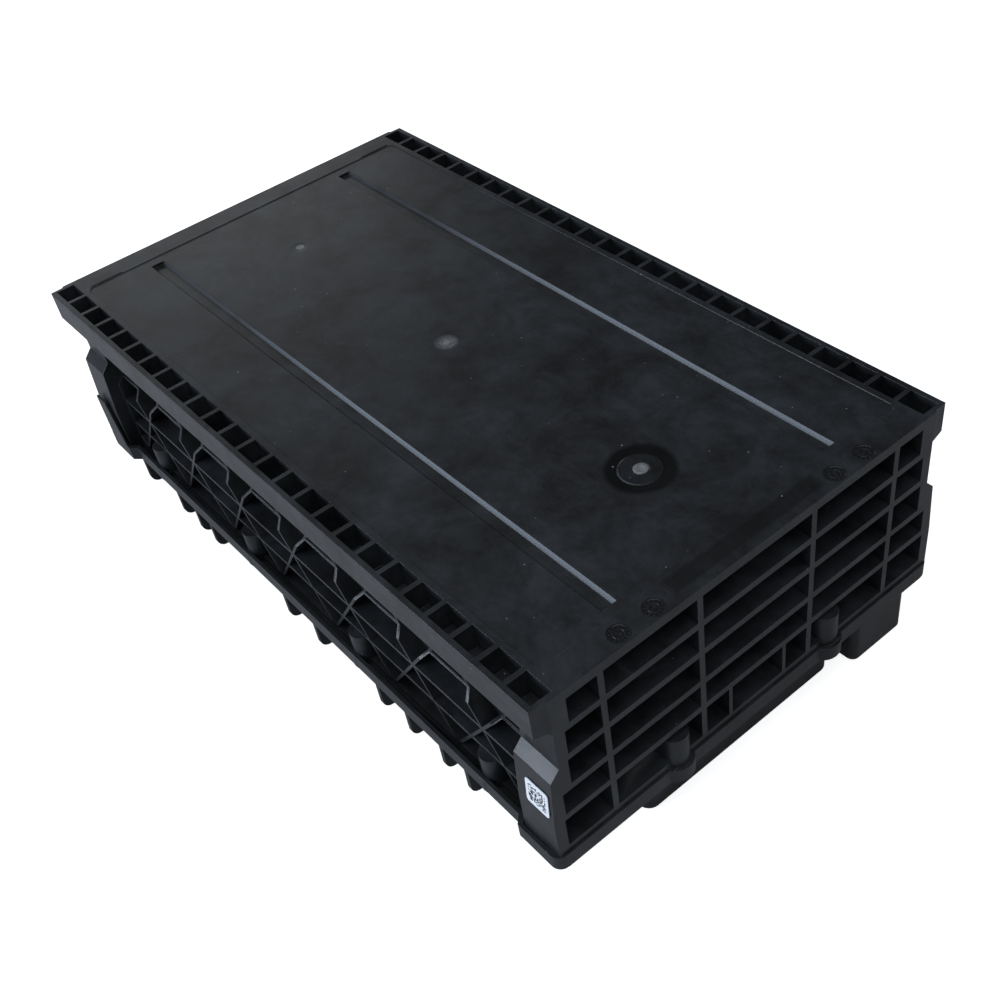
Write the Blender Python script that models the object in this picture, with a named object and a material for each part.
# A ribbed moulded case, floor side up, standing on its screwed-on base cover.
# Metres, +Z up. The origin is the middle of the footprint, on the surface the case stands on.
# +X points to the labelled end, and the label is on the -Y side.

import math

import bmesh
import bpy
from mathutils import Matrix, Vector

# Overall sizes
TOP = 0.1300  # height of the flat top
END_X = 0.2012  # plane of the end ribs
GAP = 0.0003  # clearance between pieces that touch
OVERRUN = 0.0100  # how far a cutter runs past the surface it opens
ROUND_STEPS = 6  # straight steps in a quarter turn

# Side rails along the top edges
RAIL_X = 0.2000
RAIL_Y = 0.1156
RAIL_DEPTH = 0.0154  # upright outer face
RAIL_SLOPE = 0.0034  # sloped underside
POCKET_COUNT = 25
POCKET_SPAN = 0.1980  # half length of the row of pockets
POCKET_WEB = 0.0024
POCKET_DEPTH = 0.0125
POCKET_INNER_Y = 0.1033
POCKET_OUTER_Y = 0.1129

# Corner posts
POST_X = 0.1790  # inner side of each post
FLANK_Y = 0.1080  # neck between rail and post
POST_SHOULDER = 0.0400  # depth below the top where the post starts to flare
POST_FLARE = 0.0050
POST_NECK_Y = 0.1129
POST_WAIST = 0.0720
POST_Y = 0.1146

# Walls
WALL = 0.0030
WALL_Y = 0.0985
WALL_X = 0.1870
ROOF = 0.0045
FOOT = 0.0306  # lower edge of the shell along its sides
END_FOOT = 0.0363  # lower edge of the shell at its ends
END_FOOT_X = 0.1925

# Flat top panel
PANEL_X = 0.1872
PANEL_Y = 0.1000
PANEL_SINK = 0.0004
PANEL_CORNER = 0.0040
GROOVE_X = (-0.1805, 0.1824)
GROOVE_Y = 0.0614
GROOVE_HALF_TOP = 0.0042
GROOVE_HALF_BOTTOM = 0.0026
GROOVE_DEPTH = 0.0021

# Crossed ribs on the long sides
RIB = 0.0016
LATTICE_Y = 0.1074
LATTICE_TOP_Y = 0.1032
LATTICE_BEND = 0.0545  # depth below the top where the rib fronts slope inward
NODE_PITCH = 0.0494
NODE_DEPTH = 0.0652
LEAN = 0.744  # sideways run of a diagonal for each unit of height
RAIL_UNDERSIDE = 0.0190
LOWER_RIB_DEPTH = 0.0808
UPPER_RIB_DEPTH = 0.0500
FOOT_FLANGE = 0.0022

# Pockets on the ends
END_COLUMN_RIBS = (0.0323, 0.0834)
END_COLUMN_RIB = 0.0030
END_ROWS = ((0.0048, 0.0184), (0.0218, 0.0352), (0.0386, 0.0533), (0.0567, 0.0696), (0.0730, 0.0900))
END_ROW_OUTER_Y = (0.1000, 0.1026, 0.1033, 0.1082, 0.1092)
SHORT_RIB_Y = 0.0165
SHORT_RIB = 0.0020

# Screw bosses, screws and inserts
BOSS_RADIUS = 0.0065
SIDE_BOSS_X = (-3 * NODE_PITCH, -NODE_PITCH, NODE_PITCH, 3 * NODE_PITCH)
SIDE_BOSS_Y = 0.1050
SIDE_BOSS_TOP = 0.0480
END_BOSS_X = 0.1975
END_BOSS_Y = 0.0468
END_BOSS_TOP = 0.0530
INSERT_RADIUS = 0.0035
INSERT_BORE = 0.0024
INSERT_LENGTH = 0.0080
BORE_DEPTH = 0.0110
SCREW_RADIUS = 0.0020
SCREW_HEAD_RADIUS = 0.0033
SCREW_HEAD = 0.0030
SCREW_SOCKET_RADIUS = 0.0018
SCREW_SOCKET_DEPTH = 0.0016
SCREW_LENGTH = 0.0120  # shank above the underside of the cover

# Base cover
COVER_X = 0.2022
COVER_Y = 0.1132
COVER_POST_Y = 0.1168
COVER_POST_X = 0.1730
COVER_CORNER = 0.0050
COVER_BAND = 0.0018
CHANNEL_CORNER = 0.0005
COVER_UNDERSIDE = 0.0275
COVER_PLATE_TOP = 0.0303
COVER_TOP = 0.0360
PAN_X = 0.1600
PAN_Y = 0.0940
PAN_NOSE_X = 0.1924
PAN_NOSE_HOLLOW_X = 0.1825
PAN_NOSE_Y = 0.0600
PAN_WALL = 0.0025
PAN_CORNER = 0.0060
RIB_LIFT = 0.0004  # how far the cross ribs end above the pan's underside
STANDING_RIB_X = (-0.185, -0.143, -0.122, -0.105, -0.027, 0.002, 0.058, 0.082, 0.109, 0.128)
STANDING_RIB = 0.0030
STANDING_RIB_Y = 0.1100
STANDING_RIB_CORNER = 0.0050
FOOT_BLOCK_X = (0.1660, 0.2000)
FOOT_BLOCK_Y = (0.0680, 0.1040)
FOOT_BLOCK_CORNER = 0.0040
EAR_TOP = 0.0636
EAR_X = 0.1790
EAR_THICKNESS = 0.0015

# Seal under the shell's wall
SEAL_INSET = 0.0004
SEAL_GROOVE = 0.0014

# Label
LABEL_X = (0.1856, 0.1992)
LABEL_DEPTH = (0.0536, 0.0680)
LABEL_THICKNESS = 0.0003
LABEL_CORNER = 0.0015


def make_collection(name):
    collection = bpy.data.collections.new(name)
    bpy.context.scene.collection.children.link(collection)
    return collection


def make_material(name, colour, roughness, metallic):
    material = bpy.data.materials.new(name)
    material.use_nodes = True
    shader = material.node_tree.nodes["Principled BSDF"]
    shader.inputs["Base Color"].default_value = (*colour, 1.0)
    shader.inputs["Roughness"].default_value = roughness
    shader.inputs["Metallic"].default_value = metallic
    return material


def add_object(name, mesh, collection):
    thing = bpy.data.objects.new(name, mesh)
    collection.objects.link(thing)
    if collection == cutters:
        thing.hide_render = True
        thing.display_type = "WIRE"
    return thing


def mesh_object(name, shape, collection):
    mesh = bpy.data.meshes.new(name)
    bmesh.ops.recalc_face_normals(shape, faces=shape.faces[:])
    shape.to_mesh(mesh)
    shape.free()
    return add_object(name, mesh, collection)


def add_block(shape, x_range, y_range, z_range):
    """Adds a box between the three pairs of limits."""
    limits = [sorted(pair) for pair in (x_range, y_range, z_range)]
    centre = Vector([(low + high) / 2 for low, high in limits])
    size = Vector([high - low for low, high in limits])
    place = Matrix.Translation(centre) @ Matrix.Diagonal((*size, 1.0))
    bmesh.ops.create_cube(shape, size=1.0, matrix=place)


def add_bar(shape, start, end, thickness, y_range):
    """Adds a straight bar across a long side, between two (x, z) points."""
    run = Vector((end[0] - start[0], end[1] - start[1]))
    middle = Vector(((start[0] + end[0]) / 2, sum(y_range) / 2, (start[1] + end[1]) / 2))
    turn = Matrix.Rotation(-math.atan2(run.y, run.x), 4, "Y")
    size = Matrix.Diagonal((run.length, abs(y_range[1] - y_range[0]), thickness, 1.0))
    bmesh.ops.create_cube(shape, size=1.0, matrix=Matrix.Translation(middle) @ turn @ size)


def add_rod(shape, centre, radius, z_range, sides=24):
    """Adds an upright cylinder."""
    middle = Vector((centre[0], centre[1], sum(z_range) / 2))
    bmesh.ops.create_cone(shape, cap_ends=True, segments=sides, radius1=radius, radius2=radius,
                          depth=z_range[1] - z_range[0], matrix=Matrix.Translation(middle))


def outline_solid(name, outline, limits, collection, turn=None):
    """Fills a flat outline, gives it thickness between two limits and returns it as a mesh object."""
    curve = bpy.data.curves.new(name, "CURVE")
    curve.dimensions = "2D"
    curve.fill_mode = "BOTH"
    curve.extrude = (limits[1] - limits[0]) / 2
    spline = curve.splines.new("POLY")
    spline.points.add(len(outline) - 1)
    for point, (across, along) in zip(spline.points, outline):
        point.co = (across, along, 0.0, 1.0)
    spline.use_cyclic_u = True
    guide = add_object(name + " outline", curve, cutters)
    guide.matrix_world = (turn or Matrix()) @ Matrix.Translation((0.0, 0.0, sum(limits) / 2))
    bpy.context.view_layer.update()
    evaluated = guide.evaluated_get(bpy.context.evaluated_depsgraph_get())
    mesh = bpy.data.meshes.new_from_object(evaluated)
    shape = bmesh.new()
    shape.from_mesh(mesh)
    bpy.data.meshes.remove(mesh)
    bmesh.ops.remove_doubles(shape, verts=shape.verts[:], dist=1e-6)
    shape.transform(guide.matrix_world)
    bpy.data.objects.remove(guide)
    return mesh_object(name, shape, collection)


# An outline's two directions and its thickness, turned into the case's directions
ALONG_X = Matrix(((0, 0, 1, 0), (1, 0, 0, 0), (0, 1, 0, 0), (0, 0, 0, 1)))  # outline in Y and Z
ALONG_Y = Matrix(((1, 0, 0, 0), (0, 0, -1, 0), (0, 1, 0, 0), (0, 0, 0, 1)))  # outline in X and Z


def arc(centre, radius, start_degrees, end_degrees, steps=ROUND_STEPS):
    angles = [math.radians(start_degrees + (end_degrees - start_degrees) * i / steps) for i in range(steps + 1)]
    return [(centre[0] + radius * math.cos(a), centre[1] + radius * math.sin(a)) for a in angles]


def rounded_rectangle(x_range, y_range, radius):
    x_low, x_high = x_range[0] + radius, x_range[1] - radius
    y_low, y_high = y_range[0] + radius, y_range[1] - radius
    return (arc((x_high, y_high), radius, 0, 90) + arc((x_low, y_high), radius, 90, 180)
            + arc((x_low, y_low), radius, 180, 270) + arc((x_high, y_low), radius, 270, 360))


def four_way(quarter):
    """Repeats the points of the +X +Y quarter, given from +X round to +Y, in the other quarters."""
    left = [(-x, y) for x, y in reversed(quarter)]
    return quarter + left + [(-x, -y) for x, y in quarter] + [(x, -y) for x, y in reversed(quarter)]


def combine(target, tool, operation, overlapping=False):
    """Adds a Boolean; overlapping is for a tool whose own bars cross each other."""
    modifier = target.modifiers.new(tool.name, "BOOLEAN")
    modifier.operation = operation
    modifier.solver = "EXACT"
    modifier.use_self = overlapping
    modifier.object = tool


def combine_all(target, name, tools, operation):
    """Adds one Boolean for a whole set of tools, which get a collection of their own."""
    group = bpy.data.collections.new(name)
    cutters.children.link(group)
    for tool in tools:
        cutters.objects.unlink(tool)
        group.objects.link(tool)
    modifier = target.modifiers.new(name, "BOOLEAN")
    modifier.operation = operation
    modifier.solver = "EXACT"
    modifier.operand_type = "COLLECTION"
    modifier.collection = group


# ---- Ribbed shell ----

def shell_body():
    """The full section, with rails at the top and flared posts below them."""
    side = [
        (RAIL_Y, TOP),
        (RAIL_Y, TOP - RAIL_DEPTH),
        (FLANK_Y, TOP - RAIL_DEPTH - RAIL_SLOPE),
        (FLANK_Y, TOP - POST_SHOULDER),
        (POST_NECK_Y, TOP - POST_SHOULDER - POST_FLARE),
        (POST_Y, TOP - POST_WAIST),
        (POST_Y, FOOT - OVERRUN / 4),
    ]
    section = side + [(-y, z) for y, z in reversed(side)]
    return outline_solid("ribbed_shell", section, (-END_X, END_X), parts, ALONG_X)


def rail_ends():
    """Takes each rail back from the end ribs, with a small slanted step."""
    low, high = TOP - RAIL_UNDERSIDE + GAP, TOP + OVERRUN
    step = END_X - RAIL_X
    corner = [
        (RAIL_X, RAIL_Y + OVERRUN),
        (RAIL_X, FLANK_Y + step),
        (END_X + OVERRUN, FLANK_Y - OVERRUN),
        (END_X + OVERRUN, RAIL_Y + OVERRUN),
    ]
    cutter = []
    for x_side in (-1, 1):
        for y_side in (-1, 1):
            outline = [(x_side * x, y_side * y) for x, y in corner]
            name = f"rail end {x_side} {y_side}"
            cutter.append(outline_solid(name, outline, (low, high), cutters))
    return cutter


def side_bay(y_side):
    """Sets the rib fronts of one long side back from the posts, and slopes them in under the rail."""
    section = [
        (LATTICE_Y, FOOT - OVERRUN),
        (LATTICE_Y, TOP - LATTICE_BEND),
        (LATTICE_TOP_Y, TOP - LATTICE_BEND + LATTICE_Y - LATTICE_TOP_Y),
        (LATTICE_TOP_Y, TOP - RAIL_UNDERSIDE),
        (POST_NECK_Y, TOP - RAIL_UNDERSIDE),
        (RAIL_Y + OVERRUN, TOP - POST_SHOULDER),
        (RAIL_Y + OVERRUN, FOOT - OVERRUN),
    ]
    outline = [(y_side * y, z) for y, z in section]
    return outline_solid(f"side bay {y_side}", outline, (-POST_X, POST_X), cutters, ALONG_X)


def lattice_bars():
    """Crossed ribs: straight diagonals through a row of nodes, tied by ribs along the case."""
    shape = bmesh.new()
    node_z = TOP - NODE_DEPTH
    top_z = TOP - RAIL_UNDERSIDE + OVERRUN
    low_z = FOOT - OVERRUN
    brace_z = TOP - UPPER_RIB_DEPTH
    reach = LEAN * (brace_z - node_z)
    for y_side in (-1, 1):
        across = (y_side * (WALL_Y - WALL), y_side * (LATTICE_Y + OVERRUN))
        for z in (node_z, TOP - LOWER_RIB_DEPTH):
            add_bar(shape, (-END_X, z), (END_X, z), RIB, across)
        for node in range(-4, 5):
            node_x = node * NODE_PITCH
            for lean in (-LEAN, LEAN):
                low = (node_x + lean * (low_z - node_z), low_z)
                high = (node_x + lean * (top_z - node_z), top_z)
                add_bar(shape, low, high, RIB, across)
            if node < 4:
                add_bar(shape, (node_x + reach, brace_z), (node_x + NODE_PITCH - reach, brace_z), RIB, across)
    return mesh_object("lattice bars", shape, cutters)


def lattice_cells():
    """The hollows between the crossed ribs."""
    shape = bmesh.new()
    for y_side in (-1, 1):
        add_block(shape, (RIB - POST_X, POST_X - RIB), (y_side * WALL_Y, y_side * (LATTICE_Y + OVERRUN / 2)),
                  (FOOT + FOOT_FLANGE, TOP - RAIL_UNDERSIDE - GAP))
    cells = mesh_object("lattice cells", shape, cutters)
    combine(cells, lattice_bars(), "DIFFERENCE", overlapping=True)
    return cells


def rail_pockets():
    shape = bmesh.new()
    length = (2 * POCKET_SPAN - (POCKET_COUNT - 1) * POCKET_WEB) / POCKET_COUNT
    for y_side in (-1, 1):
        for index in range(POCKET_COUNT):
            start = -POCKET_SPAN + index * (length + POCKET_WEB)
            add_block(shape, (start, start + length), (y_side * POCKET_INNER_Y, y_side * POCKET_OUTER_Y),
                      (TOP - POCKET_DEPTH, TOP + OVERRUN))
    return mesh_object("rail pockets", shape, cutters)


def end_columns(row):
    """The clear widths between the upright ribs of one end row, on the +Y half and the middle."""
    half = END_COLUMN_RIB / 2
    inner, outer = END_COLUMN_RIBS
    columns = [(inner + half, outer - half), (outer + half, END_ROW_OUTER_Y[row])]
    if row < len(END_ROWS) - 1:
        return [(half - inner, inner - half)], columns
    short = SHORT_RIB / 2
    return [(short - SHORT_RIB_Y, SHORT_RIB_Y - short)], columns + [(SHORT_RIB_Y + short, inner - half)]


def end_pockets():
    shape = bmesh.new()
    for x_side in (-1, 1):
        depth = (x_side * WALL_X, x_side * (END_X + OVERRUN))
        for row, (upper, lower) in enumerate(END_ROWS):
            height = (TOP - lower, TOP - upper)
            middle, half = end_columns(row)
            for limits in middle + half + [(-high, -low) for low, high in half]:
                add_block(shape, depth, limits, height)
    return mesh_object("end pockets", shape, cutters)


def shell_hollow():
    """The storage space, open at the foot, and the parts of the foot that end higher up."""
    shape = bmesh.new()
    add_block(shape, (WALL - WALL_X, WALL_X - WALL), (WALL - WALL_Y, WALL_Y - WALL), (FOOT - OVERRUN, TOP - ROOF))
    for x_side in (-1, 1):
        add_block(shape, (x_side * END_FOOT_X, x_side * (END_X + OVERRUN)), (-RAIL_Y - OVERRUN, RAIL_Y + OVERRUN),
                  (FOOT - OVERRUN, END_FOOT))
    return mesh_object("shell hollow", shape, cutters)


def boss_outline(centre, back, facing_degrees):
    """A half-round front with straight cheeks running back into the wall."""
    half = arc((0.0, 0.0), BOSS_RADIUS, -90, 90, 2 * ROUND_STEPS)
    local = half + [(-back, BOSS_RADIUS), (-back, -BOSS_RADIUS)]
    turn = Matrix.Rotation(math.radians(facing_degrees), 2)
    return [tuple(Vector(centre) + turn @ Vector(point)) for point in local]


def boss_places():
    """Centre, foot height, top height and facing of each screw boss, and the depth of its cheeks."""
    side_back = SIDE_BOSS_Y - WALL_Y + WALL / 2
    end_back = END_BOSS_X - WALL_X + WALL / 2
    places = []
    for y_side in (-1, 1):
        for x in SIDE_BOSS_X:
            places.append(((x, y_side * SIDE_BOSS_Y), FOOT, SIDE_BOSS_TOP, y_side * 90, side_back))
    for x_side in (-1, 1):
        for y in (-END_BOSS_Y, END_BOSS_Y):
            places.append(((x_side * END_BOSS_X, y), END_FOOT, END_BOSS_TOP, 90 - x_side * 90, end_back))
    return places


def panel_sink():
    outline = rounded_rectangle((-PANEL_X, PANEL_X), (-PANEL_Y, PANEL_Y), PANEL_CORNER)
    return outline_solid("panel sink", outline, (TOP - PANEL_SINK, TOP + OVERRUN), cutters)


def panel_grooves():
    """Two long grooves with sloped sides."""
    rise = (GROOVE_HALF_TOP - GROOVE_HALF_BOTTOM) / GROOVE_DEPTH
    over = GROOVE_HALF_TOP + rise * OVERRUN / 4
    section = [
        (-GROOVE_HALF_BOTTOM, TOP - GROOVE_DEPTH),
        (GROOVE_HALF_BOTTOM, TOP - GROOVE_DEPTH),
        (over, TOP + OVERRUN / 4),
        (-over, TOP + OVERRUN / 4),
    ]
    grooves = []
    for y_side in (-1, 1):
        outline = [(y_side * GROOVE_Y + y, z) for y, z in section]
        grooves.append(outline_solid(f"groove {y_side}", outline, GROOVE_X, cutters, ALONG_X))
    return grooves


def foot_plane():
    """Trims the walls and the side bosses level at the foot."""
    shape = bmesh.new()
    add_block(shape, (-END_X - OVERRUN, END_X + OVERRUN), (-RAIL_Y - OVERRUN, RAIL_Y + OVERRUN),
              (FOOT - 2 * OVERRUN, FOOT))
    return mesh_object("foot plane", shape, cutters)


def insert_bores():
    shape = bmesh.new()
    for centre, foot, _, _, _ in boss_places():
        add_rod(shape, centre, INSERT_RADIUS + GAP, (foot - OVERRUN / 2, foot + BORE_DEPTH))
    return mesh_object("insert bores", shape, cutters)


def bosses():
    tools = []
    for index, (centre, foot, top, facing, back) in enumerate(boss_places()):
        outline = boss_outline(centre, back, facing)
        tools.append(outline_solid(f"boss {index}", outline, (foot - OVERRUN / 4, top), cutters))
    return tools


def shell_steps():
    """What is cut from the shell, then added to it, then cut again."""
    bays = [side_bay(y_side) for y_side in (-1, 1)]
    openings = [lattice_cells(), rail_pockets(), end_pockets(), panel_sink()]
    return [
        ("shell openings", rail_ends() + bays + openings + panel_grooves(), "DIFFERENCE"),
        ("shell bosses", bosses(), "UNION"),
        ("shell hollows", [shell_hollow(), foot_plane(), insert_bores()], "DIFFERENCE"),
    ]


# ---- Base cover ----

def cover_outline(end_x=COVER_X, inset=0.0, corner=COVER_CORNER):
    """The rim seen from above: wider round the four posts, with rounded corners."""
    y = COVER_POST_Y - inset
    step = COVER_POST_X + inset
    quarter = arc((end_x - corner, y - corner), corner, 0, 90)
    return four_way(quarter + [(step + COVER_POST_Y - COVER_Y, y), (step, COVER_Y - inset)])


def pan_solids():
    """The deep pan: a broad middle with a narrower nose at each end."""
    top = COVER_UNDERSIDE + GAP
    broad = rounded_rectangle((-PAN_X, PAN_X), (-PAN_Y, PAN_Y), PAN_CORNER)
    nose = rounded_rectangle((-PAN_NOSE_X, PAN_NOSE_X), (-PAN_NOSE_Y, PAN_NOSE_Y), PAN_CORNER)
    return [
        outline_solid("pan middle", broad, (0.0, top), cutters),
        outline_solid("pan nose", nose, (0.0, top - GAP / 2), cutters),
    ]


def pan_hollows():
    x, y = PAN_X - PAN_WALL, PAN_Y - PAN_WALL
    nose_x, nose_y = PAN_NOSE_HOLLOW_X, PAN_NOSE_Y - PAN_WALL
    broad = rounded_rectangle((-x, x), (-y, y), PAN_CORNER - PAN_WALL)
    nose = rounded_rectangle((-nose_x, nose_x), (-nose_y, nose_y), PAN_CORNER - PAN_WALL)
    top = COVER_TOP + OVERRUN
    return [
        outline_solid("pan middle hollow", broad, (PAN_WALL, top), cutters),
        outline_solid("pan nose hollow", nose, (PAN_WALL, top + GAP), cutters),
    ]


def standing_ribs():
    """Cross ribs between the pan and the rim."""
    ribs = []
    inner_y = PAN_Y - PAN_WALL / 2
    top = COVER_UNDERSIDE + GAP
    radius = STANDING_RIB_CORNER
    for y_side in (-1, 1):
        section = [(inner_y, top), (inner_y, RIB_LIFT)]
        section += arc((STANDING_RIB_Y - radius, radius + RIB_LIFT), radius, -90, 0)
        section.append((STANDING_RIB_Y, top))
        outline = [(y_side * y, z) for y, z in section]
        for x in STANDING_RIB_X:
            limits = (x - STANDING_RIB / 2, x + STANDING_RIB / 2)
            ribs.append(outline_solid(f"standing rib {x} {y_side}", outline, limits, cutters, ALONG_X))
    return ribs


def foot_block():
    outline = rounded_rectangle(FOOT_BLOCK_X, FOOT_BLOCK_Y, FOOT_BLOCK_CORNER)
    return outline_solid("foot block", outline, (RIB_LIFT, COVER_UNDERSIDE + GAP), cutters)


def cover_ears():
    """Upright ears on the rim, outside the two far posts."""
    outline = [
        (-COVER_X + COVER_CORNER, COVER_TOP - GAP),
        (-COVER_X + COVER_CORNER, EAR_TOP),
        (-EAR_X - (COVER_CORNER + OVERRUN) / 2, EAR_TOP - GAP),
        (-EAR_X, COVER_TOP - GAP),
    ]
    ears = []
    for y_side in (-1, 1):
        faces = sorted((-y_side * COVER_POST_Y, -y_side * (COVER_POST_Y - EAR_THICKNESS)))
        ears.append(outline_solid(f"ear {y_side}", outline, faces, cutters, ALONG_Y))
    return ears


def cover_bulges(radius, limits):
    """Round swellings of the rim beside the bosses."""
    shape = bmesh.new()
    for centre, _, _, _, _ in boss_places():
        add_rod(shape, centre, radius, limits)
    return mesh_object("bulges", shape, cutters)


def cover_channel():
    """The space inside the rim that takes the shell's foot."""
    outline = cover_outline(END_FOOT_X + GAP, COVER_BAND, CHANNEL_CORNER)
    return outline_solid("cover channel", outline, (COVER_PLATE_TOP, COVER_TOP + OVERRUN), cutters)


def side_bulge_channel():
    shape = bmesh.new()
    for y_side in (-1, 1):
        for x in SIDE_BOSS_X:
            add_rod(shape, (x, y_side * SIDE_BOSS_Y), BOSS_RADIUS + GAP, (COVER_PLATE_TOP, COVER_TOP + OVERRUN))
    return mesh_object("side bulge channel", shape, cutters)


def screw_holes():
    shape = bmesh.new()
    for centre, _, _, _, _ in boss_places():
        add_rod(shape, centre, SCREW_RADIUS + GAP, (COVER_UNDERSIDE - OVERRUN, COVER_TOP + OVERRUN))
    return mesh_object("screw holes", shape, cutters)


def seal_ring(name, clearance, limits, collection):
    """A ring under the shell's wall, a little narrower than the wall."""
    inset = SEAL_INSET - clearance
    x, y = WALL_X - inset, WALL_Y - inset
    width = WALL - 2 * inset
    outer = rounded_rectangle((-x, x), (-y, y), PANEL_CORNER)
    inner = rounded_rectangle((width - x, x - width), (width - y, y - width), PANEL_CORNER - width)
    ring = outline_solid(name, outer, limits, collection)
    middle = outline_solid(name + " middle", inner, (limits[0] - OVERRUN, limits[1] + OVERRUN), cutters)
    combine(ring, middle, "DIFFERENCE")
    return ring


def cover_steps():
    """What is added to the cover's rim plate, then cut from it."""
    bulges = cover_bulges(BOSS_RADIUS + GAP + COVER_BAND, (COVER_UNDERSIDE + GAP, COVER_TOP - GAP))
    groove = seal_ring("seal groove", GAP, (COVER_PLATE_TOP - SEAL_GROOVE, COVER_PLATE_TOP + OVERRUN), cutters)
    hollows = [cover_channel(), side_bulge_channel(), groove, screw_holes()] + pan_hollows()
    return [
        ("cover additions", [bulges, foot_block()] + pan_solids() + standing_ribs() + cover_ears(), "UNION"),
        ("cover hollows", hollows, "DIFFERENCE"),
    ]


# ---- Small pieces ----

def screw_mesh():
    """A cap screw, head down: its origin is on the axis at the underside of the cover."""
    shape = bmesh.new()
    add_rod(shape, (0.0, 0.0), SCREW_HEAD_RADIUS, (-SCREW_HEAD - GAP, -GAP))
    shank = bmesh.new()
    add_rod(shank, (0.0, 0.0), SCREW_RADIUS, (-SCREW_HEAD / 2, SCREW_LENGTH), 16)
    socket = bmesh.new()
    add_rod(socket, (0.0, 0.0), SCREW_SOCKET_RADIUS, (-2 * SCREW_HEAD, SCREW_SOCKET_DEPTH - SCREW_HEAD - GAP), 6)
    head = mesh_object("screw head", shape, cutters)
    combine(head, mesh_object("screw shank", shank, cutters), "UNION")
    combine(head, mesh_object("screw socket", socket, cutters), "DIFFERENCE")
    return baked_mesh(head)


def insert_mesh():
    """A threaded brass insert: its origin is on the axis at its lower end."""
    shape = bmesh.new()
    add_rod(shape, (0.0, 0.0), INSERT_RADIUS, (0.0, INSERT_LENGTH), 20)
    bore = bmesh.new()
    add_rod(bore, (0.0, 0.0), INSERT_BORE, (-OVERRUN, INSERT_LENGTH + OVERRUN), 20)
    sleeve = mesh_object("insert sleeve", shape, cutters)
    combine(sleeve, mesh_object("insert hole", bore, cutters), "DIFFERENCE")
    return baked_mesh(sleeve)


def baked_mesh(thing):
    """The finished mesh of an object, for several objects to share."""
    bpy.context.view_layer.update()
    mesh = bpy.data.meshes.new_from_object(thing.evaluated_get(bpy.context.evaluated_depsgraph_get()))
    mesh.shade_smooth()
    mesh.set_sharp_from_angle(angle=math.radians(30))
    return mesh


def make_screws():
    mesh = screw_mesh()
    screws = []
    for number, (centre, _, _, _, _) in enumerate(boss_places(), start=1):
        screw = add_object(f"cover_screw_{number:02d}", mesh, parts)
        screw.location = (*centre, COVER_UNDERSIDE)
        screws.append(screw)
    return screws


def make_inserts():
    mesh = insert_mesh()
    inserts = []
    for number, (centre, foot, _, _, _) in enumerate(boss_places(), start=1):
        insert = add_object(f"threaded_insert_{number:02d}", mesh, parts)
        insert.location = (*centre, foot + GAP)
        inserts.append(insert)
    return inserts


def make_label():
    """A thin label lying on the slightly sloped outer face of the near post."""
    half_x = (LABEL_X[1] - LABEL_X[0]) / 2
    half_z = (LABEL_DEPTH[1] - LABEL_DEPTH[0]) / 2
    outline = rounded_rectangle((-half_x, half_x), (-half_z, half_z), LABEL_CORNER)
    label = outline_solid("post_label", outline, (-LABEL_THICKNESS / 2, LABEL_THICKNESS / 2), parts, ALONG_Y)
    flare = math.atan2(POST_Y - POST_NECK_Y, POST_WAIST - POST_SHOULDER - POST_FLARE)
    depth = sum(LABEL_DEPTH) / 2
    face_y = POST_NECK_Y + (depth - POST_SHOULDER - POST_FLARE) * math.tan(flare)
    away = GAP + LABEL_THICKNESS / 2
    label.location = (sum(LABEL_X) / 2, -face_y - away, TOP - depth)
    label.rotation_euler = (-flare, 0.0, 0.0)
    return label


for old in list(bpy.data.objects):
    bpy.data.objects.remove(old)

parts = make_collection("Ribbed case")
cutters = make_collection("Cutters")

black_nylon = make_material("black nylon", (0.018, 0.019, 0.021), 0.45, 0.0)
black_cover = make_material("black cover", (0.016, 0.016, 0.017), 0.50, 0.0)
seal_rubber = make_material("seal rubber", (0.03, 0.03, 0.03), 0.80, 0.0)
screw_steel = make_material("screw steel", (0.45, 0.45, 0.46), 0.35, 1.0)
insert_brass = make_material("insert brass", (0.65, 0.48, 0.20), 0.35, 1.0)
label_paper = make_material("label paper", (0.85, 0.86, 0.86), 0.55, 0.0)

lift = bpy.data.objects.new("shell lift axis", None)
parts.objects.link(lift)

shell = shell_body()
cover = outline_solid("base_cover", cover_outline(), (COVER_UNDERSIDE, COVER_TOP), parts)
seal = seal_ring("perimeter_seal", 0.0, (COVER_PLATE_TOP - SEAL_GROOVE + GAP, FOOT - GAP), parts)
screws = make_screws()
inserts = make_inserts()
label = make_label()

for body, steps in ((shell, shell_steps()), (cover, cover_steps())):
    for step_name, tools, operation in steps:
        combine_all(body, step_name, tools, operation)

shell.data.materials.append(black_nylon)
cover.data.materials.append(black_cover)
seal.data.materials.append(seal_rubber)
screws[0].data.materials.append(screw_steel)
inserts[0].data.materials.append(insert_brass)
label.data.materials.append(label_paper)

for piece in [shell, label] + inserts:
    piece.parent = lift
for piece in [seal] + screws:
    piece.parent = cover
